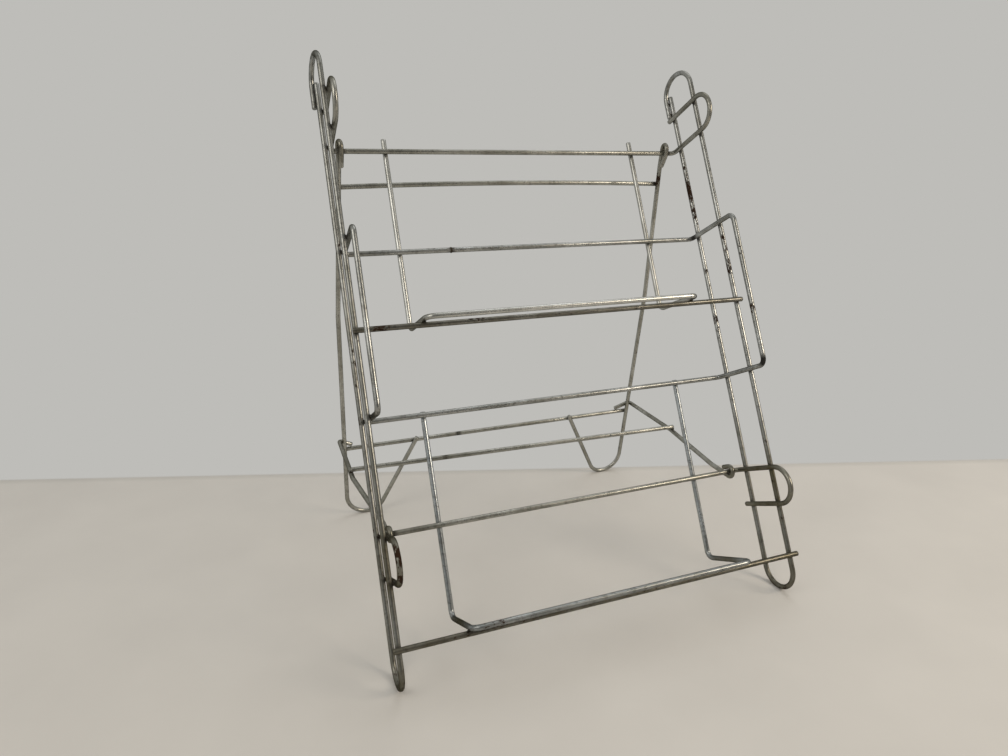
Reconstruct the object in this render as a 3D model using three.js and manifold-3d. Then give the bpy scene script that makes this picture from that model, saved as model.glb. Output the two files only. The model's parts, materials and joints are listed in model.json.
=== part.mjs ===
// Folding wire rack for newspapers and magazines, in millimetres, +Z up, front towards -Y.
// Every piece is one bent or straight steel wire, and pieces touch only where they are welded or hooked.
import * as THREE from 'three';
import { mergeVertices } from 'three/addons/utils/BufferGeometryUtils.js';
import Module from 'manifold-3d';

const wasm = await Module();
wasm.setup();

// Wire stock
const wireDiameter = 4.76;      // 3/16 inch round wire, the same in every piece
const seam = 0.3;               // clearance left where two wires meet
const sectionSides = 12;        // flats round one wire
const arcStep = THREE.MathUtils.degToRad(18);
const pitch = wireDiameter + seam;

// Side loops, measured up the sloping frame from the bottom of the loop
const loopSpacing = 380;        // between the two loops, centre to centre
const loopWidth = 37;           // between a loop's front and back uprights
const loopHeight = 543;
const lapLength = 18;           // how far the wire's two ends lie side by side, below the round top

// Heights of the cross wires up the sloping frame
const topBarHeight = 465.5;
const guardTopHeight = 366.5;
const upperRodHeight = 285;
const guardBottomHeight = 214.5;
const lowBarHeight = 117;
const lowerRodHeight = 33;

// Bars, ears and side guards
const barSetback = 6.8;         // bars lie this far behind the back uprights
const guardReach = 64;          // ears and guards reach this far in front of the back uprights
const earDepth = 35;            // between the two runs of an ear
const earOverrun = 4;           // an ear's end passes the back upright by this much
const barBend = 4.8;
const guardBend = 7;
const buttJointX = -85;         // where the guard wire's two ends meet
const upperRodOverhang = 3;     // past the centre of each loop
const lowerRodOverhang = 5;

// Shelf wires
const shelfWidth = 266.5;
const shelfReach = 54;          // front lip, in front of the back uprights
const shelfBend = 7;
const lipBend = 8;
const upperShelfRise = 5;       // how much higher a shelf's back corner sits than its lip
const lowerShelfRise = -1;
const shelfEndRise = 14.5;      // the wire ends stand this far above the bar they are welded to
const lowerShelfEndRise = 3.5;

// Rear legs, measured down the leg from the top bar
const openAngle = THREE.MathUtils.degToRad(36.2);
const sideSlip = -2;            // the hooked frames sit this far to the left along their bars
const legEyeInset = 15;         // a leg's hook, inward from the centre of its loop
const legFootInset = 7.6;       // a leg at its foot, inward from the centre of its loop
const legFlareDrop = 165;       // where a leg has spread to its foot's place
const legLength = 415;
const upperTieDrop = 34.5;
const lowerTieDrop = 328;
const tieOverhang = 1.2;
const hookTail = 14;            // free end of a leg's hook, below the top bar
const tailSet = 1.5;            // sideways set of a hook's free end
const hookRise = 3.5;           // how much taller than round a leg's hook is
const neckDrop = 2;             // where the free end starts to lean back against the leg
const neckBend = 4;
const footBend = 24;
const footTurn = 20;
const footWidth = 36.5;         // from the leg to where the foot turns up
const footLean = THREE.MathUtils.degToRad(27);
const footEndRise = 6;          // the foot's end stands this far above the lower tie

// Brace, hooked round the low bar and caught behind the legs
const braceEyeInset = 14;       // a brace wire's hook, inward from the centre of its loop
const braceHookTurn = THREE.MathUtils.degToRad(210);
const braceTail = 8;            // free end of a brace wire's hook
const braceFlareStart = 28;
const braceFlareEnd = 122;
const catchRise = 12;           // catch above the lower tie where it leaves the brace
const leftCatchReach = 14;
const rightCatchReach = 20;
const catchBend = 5;
const flareBend = 30;
const spreaderDistance = 125;   // from the low bar to the middle of the brace's cross wire
const spreaderSkew = 14;        // how much further out its left end is welded than its right
const spreaderOverhang = 0.5;

// Worn flats under the feet
const footFlat = 0.5;

// Finishes
const zincWire = { color: 0x8d8b82, roughness: 0.42, metalness: 0.9 };
const brightWire = { color: 0x9fa1a0, roughness: 0.36, metalness: 0.9 };
const tarnishedWire = { color: 0x6d685a, roughness: 0.5, metalness: 0.85 };

// Points along a wire: straight runs, with an arc at each corner that has a bend radius
class WirePath extends THREE.Curve {
  constructor(corners) {
    super();
    this.stations = [];
    const first = corners[0].at;
    this.addStation(first, corners[1].at.clone().sub(first));
    for (let i = 1; i < corners.length - 1; i += 1) {
      this.addBend(corners[i - 1].at, corners[i], corners[i + 1].at);
    }
    const last = corners[corners.length - 1].at;
    this.addStation(last, last.clone().sub(corners[corners.length - 2].at));
  }

  addStation(point, tangent) {
    const previous = this.stations[this.stations.length - 1];
    if (previous && previous.point.distanceTo(point) < wireDiameter / 100) {
      return;
    }
    this.stations.push({ point: point.clone(), tangent: tangent.clone().normalize() });
  }

  addBend(before, corner, after) {
    const into = corner.at.clone().sub(before).normalize();
    const out = after.clone().sub(corner.at).normalize();
    const turn = into.angleTo(out);
    const start = corner.at.clone().addScaledVector(into, -corner.radius * Math.tan(turn / 2));
    const side = out.clone().addScaledVector(into, -out.dot(into)).normalize();
    const centre = start.clone().addScaledVector(side, corner.radius);
    const steps = Math.max(2, Math.ceil(turn / arcStep));
    for (let i = 0; i <= steps; i += 1) {
      const angle = (turn * i) / steps;
      const point = centre.clone()
        .addScaledVector(side, -corner.radius * Math.cos(angle))
        .addScaledVector(into, corner.radius * Math.sin(angle));
      const tangent = into.clone().multiplyScalar(Math.cos(angle)).addScaledVector(side, Math.sin(angle));
      this.addStation(point, tangent);
    }
  }

  stationAt(u) {
    return this.stations[Math.round(u * (this.stations.length - 1))];
  }

  getPointAt(u, target = new THREE.Vector3()) {
    return target.copy(this.stationAt(u).point);
  }

  getTangentAt(u, target = new THREE.Vector3()) {
    return target.copy(this.stationAt(u).tangent);
  }
}

const wireSection = new THREE.Shape();
for (let i = 0; i < sectionSides; i += 1) {
  const angle = (2 * Math.PI * (i + 0.5)) / sectionSides;
  const x = (wireDiameter / 2) * Math.cos(angle);
  const y = (wireDiameter / 2) * Math.sin(angle);
  if (i === 0) {
    wireSection.moveTo(x, y);
  } else {
    wireSection.lineTo(x, y);
  }
}

// A corner of a wire's route, with the radius that it is bent to
function corner(x, y, z, radius = 0) {
  return { at: new THREE.Vector3(x, y, z), radius };
}

// A wire along a route of corners, as a closed solid
function bentWire(name, finish, corners) {
  const path = new WirePath(corners);
  const geometry = new THREE.ExtrudeGeometry(wireSection, {
    steps: path.stations.length - 1,
    extrudePath: path,
    bevelEnabled: false,
  });
  const mesh = new THREE.Mesh(geometry, new THREE.MeshStandardMaterial(finish));
  mesh.name = name;
  return mesh;
}

// A straight rod across the rack, centred at its height
function crossRod(name, finish, halfLength, y, z) {
  return bentWire(name, finish, [corner(-halfLength, y, z), corner(halfLength, y, z)]);
}

// The route of one half, followed by its mirror image
function mirrored(half) {
  const other = half.map(({ at, radius }) => corner(-at.x, at.y, at.z, radius)).reverse();
  return [...half, ...other];
}

const earX = loopSpacing / 2 - pitch;
const legEyeX = loopSpacing / 2 - legEyeInset;
const legFootX = loopSpacing / 2 - legFootInset;
const braceEyeX = loopSpacing / 2 - braceEyeInset;
const rodY = -(loopWidth + pitch);
const shelfBackY = barSetback + pitch;

// A long loop whose two ends lie side by side, one behind the other, near the top
function sideLoop(name, x) {
  const lowRadius = loopWidth / 2;
  const topRadius = (loopWidth + pitch) / 2;
  const lapTop = loopHeight - topRadius;
  return bentWire(name, zincWire, [
    corner(x, 0, lapTop),
    corner(x, 0, 0, lowRadius),
    corner(x, -loopWidth, 0, lowRadius),
    corner(x, -loopWidth, loopHeight, topRadius),
    corner(x, pitch, loopHeight, topRadius),
    corner(x, pitch, lapTop - lapLength),
  ]);
}

// A bar whose ends bend forward inside the loops and return as rounded ears, up or down
function earBar(name, height, earRise) {
  const earRadius = Math.abs(earRise) / 2;
  return bentWire(name, tarnishedWire, mirrored([
    corner(earX, earOverrun, height + earRise),
    corner(earX, -guardReach, height + earRise, earRadius),
    corner(earX, -guardReach, height, earRadius),
    corner(earX, barSetback, height, barBend),
  ]));
}

// Two back bars and the side guards between them, one wire round both sides
function guardWire(name) {
  const side = (x) => [
    corner(x, barSetback, guardTopHeight, barBend),
    corner(x, -guardReach, guardTopHeight, guardBend),
    corner(x, -guardReach, guardBottomHeight, guardBend),
    corner(x, barSetback, guardBottomHeight, barBend),
  ];
  return bentWire(name, zincWire, [
    corner(buttJointX + seam / 2, barSetback, guardTopHeight),
    ...side(earX),
    ...side(-earX).reverse(),
    corner(buttJointX - seam / 2, barSetback, guardTopHeight),
  ]);
}

// A shelf: two uprights behind the bars, a run forward over the rod on each side and a lip across the front
function shelfWire(name, rodHeight, rise, endHeight) {
  const slope = rise / (shelfBackY + shelfReach);
  const runHeight = (y) => rodHeight + pitch + slope * (y - rodY);
  return bentWire(name, brightWire, mirrored([
    corner(shelfWidth / 2, shelfBackY, endHeight),
    corner(shelfWidth / 2, shelfBackY, runHeight(shelfBackY), shelfBend),
    corner(shelfWidth / 2, -shelfReach, runHeight(-shelfReach), lipBend),
  ]));
}

// A leg: hooked over the top bar and closed at the neck, then down, and turned inward in a round foot
function rearLeg(name, side) {
  const hookRadius = Math.hypot(tailSet, 2 * pitch) / 2;
  const hookTop = hookRadius + hookRise;
  const tailX = legEyeX - tailSet;
  const footX = legFootX - footWidth;
  const footEnd = lowerTieDrop - footEndRise;
  const footEndX = footX - (legLength - footEnd) * Math.tan(footLean);
  return bentWire(name, tarnishedWire, [
    corner(side * tailX, 0, -hookTail),
    corner(side * tailX, -pitch, -neckDrop, neckBend),
    corner(side * tailX, -pitch, hookTop, hookRadius),
    corner(side * legEyeX, pitch, hookTop, hookRadius),
    corner(side * legEyeX, pitch, -hookTail, flareBend),
    corner(side * legFootX, pitch, -legFlareDrop, flareBend),
    corner(side * legFootX, pitch, -legLength, footBend),
    corner(side * footX, pitch, -legLength, footTurn),
    corner(side * footEndX, pitch, -footEnd),
  ]);
}

// How far from the middle a leg's centre is, at a distance down the leg
function legX(drop) {
  const share = (drop - hookTail) / (legFlareDrop - hookTail);
  return THREE.MathUtils.lerp(legEyeX, legFootX, THREE.MathUtils.clamp(share, 0, 1));
}

// The catch, seen from the side: behind the leg, above the lower tie, measured from the low bar's axis
const catchDrop = lowerTieDrop - catchRise;
const catchBehind = catchDrop * Math.sin(openAngle) + 2 * pitch * Math.cos(openAngle);
const catchAbove = (topBarHeight - lowBarHeight)
  - catchDrop * Math.cos(openAngle) + 2 * pitch * Math.sin(openAngle);
const braceLength = Math.sqrt(catchBehind ** 2 + catchAbove ** 2 - pitch ** 2);
const braceAngle = Math.atan2(catchBehind, catchAbove) - Math.atan2(pitch, braceLength);

// A brace wire: hooked round the low bar, out past the leg, and bent in behind it down to the lower tie
function braceWire(name, side, catchReach) {
  const hookAt = (turn, distance) => [distance * Math.cos(turn), -distance * Math.sin(turn)];
  const hookCorner = (share) => {
    const [y, z] = hookAt(share * braceHookTurn, pitch / Math.cos(braceHookTurn / 4));
    return corner(side * braceEyeX, y, z, pitch);
  };
  const [tailY, tailZ] = hookAt(braceHookTurn, pitch);
  const tailEnd = corner(
    side * braceEyeX,
    tailY - braceTail * Math.sin(braceHookTurn),
    tailZ - braceTail * Math.cos(braceHookTurn),
  );
  const outerX = legX(catchDrop) + pitch;
  const droop = catchRise - pitch;
  const lean = openAngle + braceAngle;
  const tipY = pitch + droop * Math.sin(lean);
  const tipZ = braceLength - droop * Math.cos(lean);
  return bentWire(name, tarnishedWire, [
    tailEnd,
    hookCorner(3 / 4),
    hookCorner(1 / 4),
    corner(side * braceEyeX, pitch, braceFlareStart, flareBend),
    corner(side * outerX, pitch, braceFlareEnd, flareBend),
    corner(side * outerX, pitch, braceLength, catchBend),
    corner(side * (outerX - catchReach), tipY, tipZ),
  ]);
}

// The sloping front frame, in its own axes: Y behind the back uprights, Z up the slope
const frontFrame = new THREE.Group();
frontFrame.add(
  sideLoop('left_side_loop', -loopSpacing / 2),
  sideLoop('right_side_loop', loopSpacing / 2),
  earBar('top_bar_with_ears', topBarHeight, earDepth),
  guardWire('side_guard_wire'),
  crossRod('upper_shelf_rod', zincWire, loopSpacing / 2 + upperRodOverhang, rodY, upperRodHeight),
  shelfWire('upper_shelf_wire', upperRodHeight, upperShelfRise, topBarHeight + shelfEndRise),
  earBar('low_bar_with_ears', lowBarHeight, -earDepth),
  crossRod('lower_shelf_rod', zincWire, loopSpacing / 2 + lowerRodOverhang, rodY, lowerRodHeight),
  shelfWire('lower_shelf_wire', lowerRodHeight, lowerShelfRise, guardBottomHeight + lowerShelfEndRise),
);

// The leg frame, in axes on the top bar: Z up the legs
const legFrame = new THREE.Group();
legFrame.position.set(sideSlip, barSetback, topBarHeight);
legFrame.rotation.x = openAngle;
legFrame.add(
  rearLeg('left_rear_leg', -1),
  rearLeg('right_rear_leg', 1),
  crossRod('upper_leg_tie', tarnishedWire, legX(upperTieDrop) + tieOverhang, 2 * pitch, -upperTieDrop),
  crossRod('lower_leg_tie', tarnishedWire, legX(lowerTieDrop) + tieOverhang, 2 * pitch, -lowerTieDrop),
);
frontFrame.add(legFrame);

// The brace, in axes on the low bar: Z out along the brace, with its spreader on top of the two wires
const brace = new THREE.Group();
brace.position.set(sideSlip, barSetback, lowBarHeight);
brace.rotation.x = -braceAngle;
const spreaderX = legX(catchDrop) + pitch + spreaderOverhang;
brace.add(
  braceWire('left_brace_wire', -1, leftCatchReach),
  braceWire('right_brace_wire', 1, rightCatchReach),
  bentWire('brace_spreader', tarnishedWire, [
    corner(-spreaderX, 0, spreaderDistance + spreaderSkew / 2),
    corner(spreaderX, 0, spreaderDistance - spreaderSkew / 2),
  ]),
);
frontFrame.add(brace);

// The slope at which the loops and the rear feet all stand on the floor
const loopCentre = loopWidth / 2;
const rearFootUp = topBarHeight - legLength * Math.cos(openAngle) + pitch * Math.sin(openAngle);
const rearFootBack = barSetback + legLength * Math.sin(openAngle) + pitch * Math.cos(openAngle);
const riseUp = rearFootUp - loopCentre;
const riseBack = rearFootBack + loopCentre;
const slopeBack = Math.acos(-loopCentre / Math.hypot(riseUp, riseBack)) - Math.atan2(riseBack, riseUp);
frontFrame.rotation.x = -slopeBack;

const rack = new THREE.Group();
rack.name = 'folding_wire_rack';
rack.add(frontFrame);

// Stand the rack on the floor, a foot's flat below its round, and centre its depth on the origin
const loopBottom = loopCentre * (Math.cos(slopeBack) + Math.sin(slopeBack)) - loopCentre - wireDiameter / 2;
frontFrame.position.z = -loopBottom - footFlat;
rack.updateMatrixWorld(true);
const depth = new THREE.Box3().setFromObject(rack, true);
frontFrame.position.y = -(depth.min.y + depth.max.y) / 2;
rack.updateMatrixWorld(true);

// A closed solid for cutting, from a geometry whose shared points are merged
function solidOf(geometry) {
  const bare = geometry.clone();
  bare.deleteAttribute('normal');
  bare.deleteAttribute('uv');
  const merged = mergeVertices(bare, wireDiameter / 1e4);
  return new wasm.Manifold(new wasm.Mesh({
    numProp: 3,
    vertProperties: new Float32Array(merged.attributes.position.array),
    triVerts: new Uint32Array(merged.index.array),
  }));
}

// Cut a foot flat where it meets the floor
function wearFlat(name) {
  const mesh = rack.getObjectByName(name);
  const reach = 4 * loopSpacing;
  const floor = new THREE.BoxGeometry(reach, reach, reach);
  floor.translate(0, 0, -reach / 2);
  floor.applyMatrix4(mesh.matrixWorld.clone().invert());
  const worn = solidOf(mesh.geometry).subtract(solidOf(floor)).getMesh();
  const geometry = new THREE.BufferGeometry();
  geometry.setAttribute('position', new THREE.BufferAttribute(worn.vertProperties, 3));
  geometry.setIndex(new THREE.BufferAttribute(worn.triVerts, 1));
  geometry.computeVertexNormals();
  mesh.geometry = geometry;
}

['left_side_loop', 'right_side_loop', 'left_rear_leg', 'right_rear_leg'].forEach(wearFlat);

export default rack;
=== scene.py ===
"""Folding wire rack for newspapers and magazines, bent from zinc-plated steel wire.

Every wire is bent again here as a smooth mesh in place of its faceted solid, on the same route, and the
resistance welds that join the wires are added. All sizes are in metres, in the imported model's frame.
"""

import json
import logging
import math
from dataclasses import dataclass, field
from enum import Enum
from typing import NamedTuple

import bmesh
import bpy
from mathutils import Matrix, Vector, noise


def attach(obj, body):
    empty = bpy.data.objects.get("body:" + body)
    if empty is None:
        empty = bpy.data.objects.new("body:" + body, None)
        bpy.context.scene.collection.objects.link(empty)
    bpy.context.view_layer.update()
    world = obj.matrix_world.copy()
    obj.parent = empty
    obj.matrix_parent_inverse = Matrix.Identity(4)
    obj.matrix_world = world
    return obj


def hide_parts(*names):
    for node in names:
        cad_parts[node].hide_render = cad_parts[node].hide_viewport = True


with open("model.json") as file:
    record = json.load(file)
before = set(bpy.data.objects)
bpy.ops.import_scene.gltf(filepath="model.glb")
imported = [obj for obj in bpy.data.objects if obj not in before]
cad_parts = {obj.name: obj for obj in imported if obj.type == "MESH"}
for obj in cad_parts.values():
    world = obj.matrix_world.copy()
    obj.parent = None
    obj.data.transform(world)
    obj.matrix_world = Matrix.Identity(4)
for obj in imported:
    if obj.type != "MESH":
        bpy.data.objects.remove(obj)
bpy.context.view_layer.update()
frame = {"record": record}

log = logging.getLogger("wire_rack")

MM = 0.001
LOOP_SPACING = 380 * MM
SHARP_ANGLE = math.radians(50)
FLOOR_TOLERANCE = 1e-7
ACROSS = Vector((1, 0, 0))
BACK = Vector((0, 1, 0))
UP = Vector((0, 0, 1))

Point = tuple[float, float, float]


def linear(code: str) -> tuple[float, float, float, float]:
    """Turn an sRGB hex colour into linear light.

    Args:
        code: six hex digits, such as "8d8b82".

    Returns:
        Red, green, blue and an alpha of 1.
    """
    shares = [int(code[i:i + 2], 16) / 255 for i in (0, 2, 4)]
    channels = [c / 12.92 if c <= 0.04045 else ((c + 0.055) / 1.055) ** 2.4 for c in shares]
    return (channels[0], channels[1], channels[2], 1.0)


def axes_along(at: Vector, heading: Vector, track: str = "Z") -> Matrix:
    """Axes at a point, with one of them turned along a heading.

    Args:
        at: the point.
        heading: the direction, of any length.
        track: the axis that follows it.

    Returns:
        The axes as a matrix.
    """
    return Matrix.Translation(at) @ heading.to_track_quat(track, "Y").to_matrix().to_4x4()


def add_node(
    tree: bpy.types.NodeTree, kind: str, links: dict[str | int, object] | None = None, **settings: object,
) -> bpy.types.Node:
    """Add a shader node to a tree, with its settings and its input values or links.

    Args:
        tree: the node tree.
        kind: the node's type, without its ShaderNode prefix.
        links: input name or index to a constant, an output, or a node whose first output is meant.
        settings: attributes of the node itself.

    Returns:
        The new node.
    """
    node = tree.nodes.new(f"ShaderNode{kind}")
    for name, value in settings.items():
        setattr(node, name, value)
    for socket, value in (links or {}).items():
        if isinstance(value, bpy.types.Node):
            value = next(output for output in value.outputs if output.enabled)
        if isinstance(value, bpy.types.NodeSocket):
            tree.links.new(value, node.inputs[socket])
        else:
            node.inputs[socket].default_value = value
    return node


class Layer(Enum):
    """Values that a wire's points carry for its finish."""

    WIRE = "wire"
    SCORCH = "scorch"
    RUST = "rust"
    FILM = "film"


class Band(NamedTuple):
    """Two levels, between which one thing fades into another."""

    low: float
    high: float


@dataclass(frozen=True)
class ZincFinish:
    """Zinc electroplated on cold-drawn steel wire.

    The plating has a satin, cool grey gleam with faint streaks along the wire. Age clouds it and films it
    over in olive drifts, and brown rust comes through where it is worn.
    """

    name: str
    slot: str
    clean: str
    cloudy: str
    film: str = "5f5a49"
    grime: str = "54514a"
    rust: str = "33241a"
    scale: str = "181410"
    # Specular tint darker than the plating: painted shade that darkens the reflection towards each wire's
    # edges, standing in for the dark rims that a dim room gives
    edge_shade_tint: str = "76746d"
    roughness: float = 0.28
    film_share: float = 0.2
    grime_share: float = 0.45
    rust_share: float = 0.3

    # Sizes of the patterns
    cloud_size: float = 34 * MM
    drift_size: float = 20.4 * MM
    grime_size: float = 4.2 * MM
    rust_zone_size: float = 47.6 * MM
    pit_length: float = 5.2 * MM
    pits_round: float = 0.9

    # Real crystals and die lines are too fine to show, so they are drawn this coarse
    grain_size: float = 1.6 * MM
    line_length: float = 25 * MM
    lines_round: float = 3.52

    # Levels at which the patterns set in
    cloud_band: Band = Band(0.36, 0.66)
    texture_band: Band = Band(0.65, 1.35)
    drift_band: Band = Band(0.42, 0.72)
    grime_band: Band = Band(0.52, 0.64)
    rust_zone_band: Band = Band(0.46, 0.74)
    pit_level: Band = Band(0.33, 0.78)
    pit_fade: float = 0.09
    scorch_band: Band = Band(0.3, 1.15)

    # What the patterns do
    tone: Band = Band(0.88, 1.07)
    scorch_share: float = 0.94
    satin_spread: float = 0.06
    film_dulling: float = 0.12
    spoiled_roughness: float = 0.8
    spoiled_metal: float = 0.2
    relief_strength: float = 0.08
    relief_depth: float = 0.08 * MM

    def material(self) -> bpy.types.Material:
        """Make the finish's node material.

        Returns:
            The material, reused if it was made before.
        """
        made = bpy.data.materials.get(self.name)
        if made is None:
            made = bpy.data.materials.new(self.name)
            made.use_nodes = True
            made.node_tree.nodes.clear()
            ZincNodes(self, made.node_tree).build()
        return made


class ZincNodes:
    """The node tree of a zinc finish, made layer by layer."""

    def __init__(self, finish: ZincFinish, tree: bpy.types.NodeTree) -> None:
        """Add the places and the fine texture that the layers share.

        Args:
            finish: the finish to make.
            tree: its empty node tree.
        """
        self.finish = finish
        self.tree = tree
        self.place = add_node(tree, "TexCoord").outputs["Object"]
        self.along = add_node(tree, "Attribute", attribute_name=Layer.WIRE.value).outputs["Vector"]
        self.grain = add_node(tree, "TexNoise", {
            "Vector": self.place, "Scale": 1 / finish.grain_size, "Detail": 2.0,
        })
        stretch = add_node(tree, "Mapping", {
            "Vector": self.along, "Scale": (finish.lines_round, finish.lines_round, 1 / finish.line_length),
        })
        lines = add_node(tree, "TexNoise", {
            "Vector": stretch, "Scale": 1.0, "Detail": 3.0, "Roughness": 0.6,
        })
        self.texture = add_node(tree, "Math", {0: lines, 1: self.grain}, operation="ADD")

    def mark(self, layer: Layer) -> bpy.types.NodeSocket:
        """A value that the wire's points carry."""
        return add_node(self.tree, "Attribute", attribute_name=layer.value).outputs["Fac"]

    def plating(self) -> bpy.types.Node:
        """Colour of the plating: slow clouds of tone, with the streaks and grain over them.

        Returns:
            The node that gives the colour.
        """
        finish = self.finish
        clouds = add_node(self.tree, "TexNoise", {
            "Vector": self.place, "Scale": 1 / finish.cloud_size, "Detail": 3.0,
        })
        share = add_node(self.tree, "MapRange", {
            "Value": clouds, "From Min": finish.cloud_band.low, "From Max": finish.cloud_band.high,
        })
        cloudy = add_node(self.tree, "Mix", {
            "Factor": share, "A": linear(finish.clean), "B": linear(finish.cloudy),
        }, data_type="RGBA")
        tone = add_node(self.tree, "MapRange", {
            "Value": self.texture,
            "From Min": finish.texture_band.low, "From Max": finish.texture_band.high,
            "To Min": finish.tone.low, "To Max": finish.tone.high,
        })
        return add_node(self.tree, "Mix", {
            "Factor": 1.0, "A": cloudy, "B": tone,
        }, data_type="RGBA", blend_type="MULTIPLY")

    def film_cover(self) -> bpy.types.Node:
        """Film: an olive tarnish in drifts, thickest where hands and damp have been.

        Returns:
            The node that gives its share.
        """
        finish = self.finish
        drift = add_node(self.tree, "TexNoise", {
            "Vector": self.place, "Scale": 1 / finish.drift_size, "Detail": 4.0, "Roughness": 0.6,
        })
        share = add_node(self.tree, "MapRange", {
            "Value": drift, "From Min": finish.drift_band.low, "From Max": finish.drift_band.high,
            "To Max": finish.film_share,
        })
        return add_node(self.tree, "Math", {
            0: share, 1: self.mark(Layer.FILM),
        }, operation="ADD", use_clamp=True)

    def grime_cover(self) -> bpy.types.Node:
        """Grime: small dull patches all over.

        Returns:
            The node that gives its share.
        """
        finish = self.finish
        patches = add_node(self.tree, "TexNoise", {
            "Vector": self.place, "Scale": 1 / finish.grime_size, "Detail": 3.0, "Roughness": 0.65,
        })
        return add_node(self.tree, "MapRange", {
            "Value": patches, "From Min": finish.grime_band.low, "From Max": finish.grime_band.high,
            "To Max": finish.grime_share,
        })

    def rust_cover(self) -> bpy.types.Node:
        """Rust: pits drawn out along the wire, thickest where the plating is worn through.

        Returns:
            The node that gives its share.
        """
        finish = self.finish
        stretch = add_node(self.tree, "Mapping", {
            "Vector": self.along, "Scale": (finish.pits_round, finish.pits_round, 1 / finish.pit_length),
        })
        pits = add_node(self.tree, "TexNoise", {
            "Vector": stretch, "Scale": 1.0, "Detail": 4.0, "Roughness": 0.65,
        })
        zones = add_node(self.tree, "TexNoise", {
            "Vector": self.place, "Scale": 1 / finish.rust_zone_size, "Detail": 2.0,
        })
        share = add_node(self.tree, "MapRange", {
            "Value": zones, "From Min": finish.rust_zone_band.low, "From Max": finish.rust_zone_band.high,
            "To Max": finish.rust_share,
        })
        wear = add_node(self.tree, "Math", {0: share, 1: self.mark(Layer.RUST)}, operation="MAXIMUM")
        level = add_node(self.tree, "MapRange", {
            "Value": wear, "To Min": finish.pit_level.high, "To Max": finish.pit_level.low,
        })
        above = add_node(self.tree, "Math", {0: pits, 1: level}, operation="SUBTRACT")
        return add_node(self.tree, "MapRange", {"Value": above, "From Max": finish.pit_fade})

    def scorch_cover(self) -> bpy.types.Node:
        """Weld scale: burnt dark round each weld, with a ragged edge.

        Returns:
            The node that gives its share.
        """
        finish = self.finish
        burn = self.mark(Layer.SCORCH)
        ragged = add_node(self.tree, "Math", {0: self.grain, 1: burn, 2: burn}, operation="MULTIPLY_ADD")
        return add_node(self.tree, "MapRange", {
            "Value": ragged, "From Min": finish.scorch_band.low, "From Max": finish.scorch_band.high,
            "To Max": finish.scorch_share,
        })

    def gloss(self, film: bpy.types.Node, spoiled: bpy.types.Node) -> bpy.types.Node:
        """Roughness: satin plating, duller under film and matt where it is rusted or burnt.

        Args:
            film: the film's share.
            spoiled: the share of rust or weld scale.

        Returns:
            The node that gives the roughness.
        """
        finish = self.finish
        rough = finish.roughness
        satin = add_node(self.tree, "MapRange", {
            "Value": self.texture,
            "From Min": finish.texture_band.low, "From Max": finish.texture_band.high,
            "To Min": rough + finish.satin_spread, "To Max": rough - finish.satin_spread,
        })
        dulled = add_node(self.tree, "Mix", {"Factor": film, "A": satin, "B": rough + finish.film_dulling})
        return add_node(self.tree, "Mix", {"Factor": spoiled, "A": dulled, "B": finish.spoiled_roughness})

    def build(self) -> None:
        """Lay film, grime, rust and weld scale over the plating and end in the shader."""
        finish = self.finish
        film = self.film_cover()
        rust = self.rust_cover()
        scorch = self.scorch_cover()
        colour = self.plating()
        covers = (
            (film, finish.film), (self.grime_cover(), finish.grime),
            (rust, finish.rust), (scorch, finish.scale),
        )
        for cover, tint in covers:
            colour = add_node(self.tree, "Mix", {
                "Factor": cover, "A": colour, "B": linear(tint),
            }, data_type="RGBA")
        spoiled = add_node(self.tree, "Math", {0: rust, 1: scorch}, operation="MAXIMUM")
        metal = add_node(self.tree, "MapRange", {
            "Value": spoiled, "To Min": 1.0, "To Max": finish.spoiled_metal,
        })
        height = add_node(self.tree, "Math", {0: self.texture, 1: rust}, operation="SUBTRACT")
        relief = add_node(self.tree, "Bump", {
            "Height": height, "Strength": finish.relief_strength, "Distance": finish.relief_depth,
        })
        shader = add_node(self.tree, "BsdfPrincipled", {
            "Base Color": colour, "Metallic": metal, "Roughness": self.gloss(film, spoiled), "Normal": relief,
            # The dark specular tint paints shade along the wire's edges
            "Specular Tint": linear(finish.edge_shade_tint),
        })
        add_node(self.tree, "OutputMaterial", {"Surface": shader})


# Gone dull: a soft grey gleam with rust spots, on the loops and the guards
DULL_ZINC = ZincFinish(
    "dull_zinc_wire", "zinc_wire", clean="b8bab8", cloudy="969895", film_share=0.3, rust_share=0.45)
# Faintly blue and cleaner, on the lower shelf
COOL_ZINC = ZincFinish(
    "cool_zinc_wire", "bright_wire", clean="c2c8cb", cloudy="a0a6a9", film_share=0.15, rust_share=0.35)
# Still bright and nearly clean, on the upper shelf
BRIGHT_ZINC = ZincFinish(
    "bright_zinc_wire", "bright_wire", clean="d6d7d3", cloudy="b8b9b4",
    film_share=0.1, rust_share=0.25, grime_share=0.12)
# Warm under an olive film, on the bars with ears, the legs and the brace
TARNISHED_ZINC = ZincFinish(
    "tarnished_zinc_wire", "tarnished_wire", clean="b9b9b2", cloudy="989890",
    film_share=0.35, rust_share=0.4, grime_share=0.35)
# Darker than the other finishes, on the two rods under the shelves
DARK_ROD_ZINC = ZincFinish(
    "dark_rod_zinc_wire", "zinc_wire", clean="8f8e87", cloudy="6f6d66",
    film_share=0.5, rust_share=0.55, grime_share=0.6)
# Scale of the resistance welds: burnt, matt and nearly black
WELD_SCALE = ZincFinish(
    "weld_scale", "tarnished_wire", clean="4a443b", cloudy="2e2923", roughness=0.6, film_share=0.5)


@dataclass(frozen=True)
class Stock:
    """The wire that every piece is bent from."""

    diameter: float = 4.76 * MM
    seam: float = 0.3 * MM
    sides: int = 20
    feed_step: float = 3 * MM
    least_feed: float = 0.03 * MM
    bend_step: float = math.radians(7.5)
    least_bend_steps: int = 3
    end_bevel: float = 0.55 * MM

    @property
    def pitch(self) -> float:
        """Distance between the centres of two wires that touch."""
        return self.diameter + self.seam


STOCK = Stock()


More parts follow.
